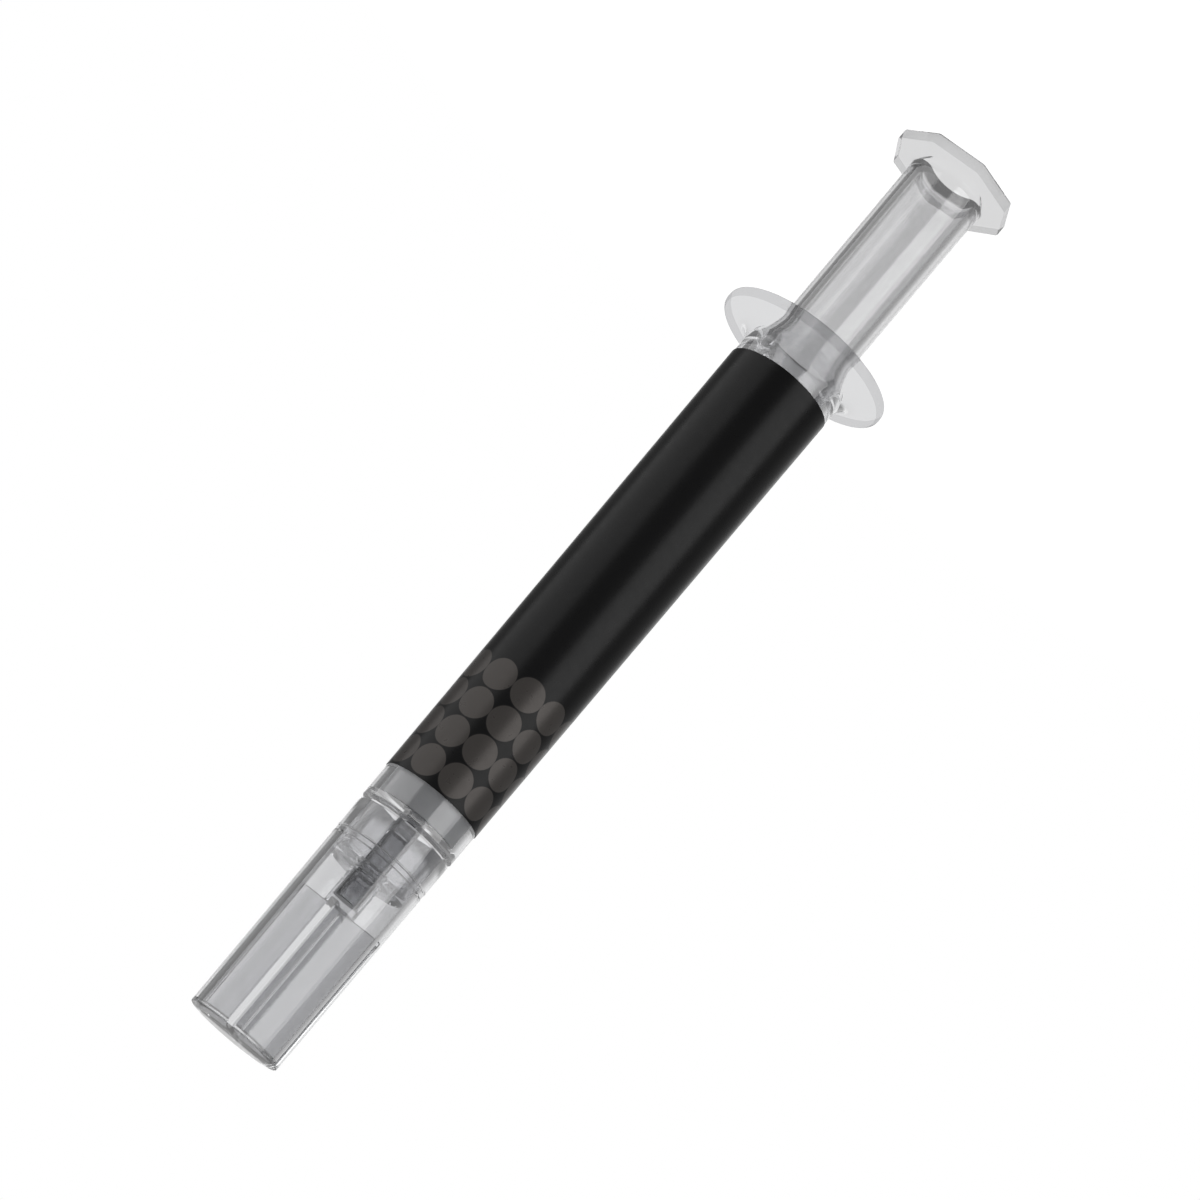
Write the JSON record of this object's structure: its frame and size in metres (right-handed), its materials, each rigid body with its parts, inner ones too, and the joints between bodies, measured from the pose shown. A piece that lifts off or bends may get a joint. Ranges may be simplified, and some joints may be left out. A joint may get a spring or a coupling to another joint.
{
  "type": "thermal paste syringe",
  "caption": "Slim clear syringe of thermal paste with a dark wrap label, round finger flange, hollow plunger with an eight-sided thumb disc, and a ribbed clear cap.",
  "frame": {"origin": "centre of the thumb face, on the surface that the syringe stands on", "axes": "+Z along the syringe's axis from the thumb disc to the cap's closed end; X and Y through the flats of the thumb disc and along the cap's crossed ribs"},
  "size_m": [0.0176, 0.0176, 0.102],
  "materials": {
    "clear_barrel": "clear moulded plastic, polished",
    "label_film": "satin black printed film with a band of grey discs",
    "paste": "smooth grey metal-oxide paste",
    "clear_plunger": "clear moulded plastic, faintly milky",
    "stopper_rubber": "black rubber, satin",
    "clear_cap": "clear moulded plastic, polished",
    "clear_socket": "clear moulded plastic, polished"
  },
  "bodies": {
    "barrel": {"barrel": "clear_barrel", "label_wrap": "label_film", "paste_charge": "paste"},
    "stopper": {"stopper": "stopper_rubber"},
    "plunger": {"plunger": "clear_plunger"},
    "cap": {"cap_shell": "clear_cap", "cap_socket": "clear_socket"}
  },
  "joints": [
    {"name": "plunger_push", "type": "slide", "parent": "barrel", "child": "stopper", "axis": [0, 0, 1], "range_m": [-0.0205, 0.0206], "deforming": ["paste_charge"]},
    {"name": "plunger_twist", "type": "hinge", "parent": "stopper", "child": "plunger", "pos_m": [0, 0, 0.047], "axis": [0, 0, 1], "continuous": true},
    {"name": "cap_pull", "type": "slide", "parent": "barrel", "child": "cap", "axis": [0, 0, 1], "range_m": [0, 0.028]}
  ]
}
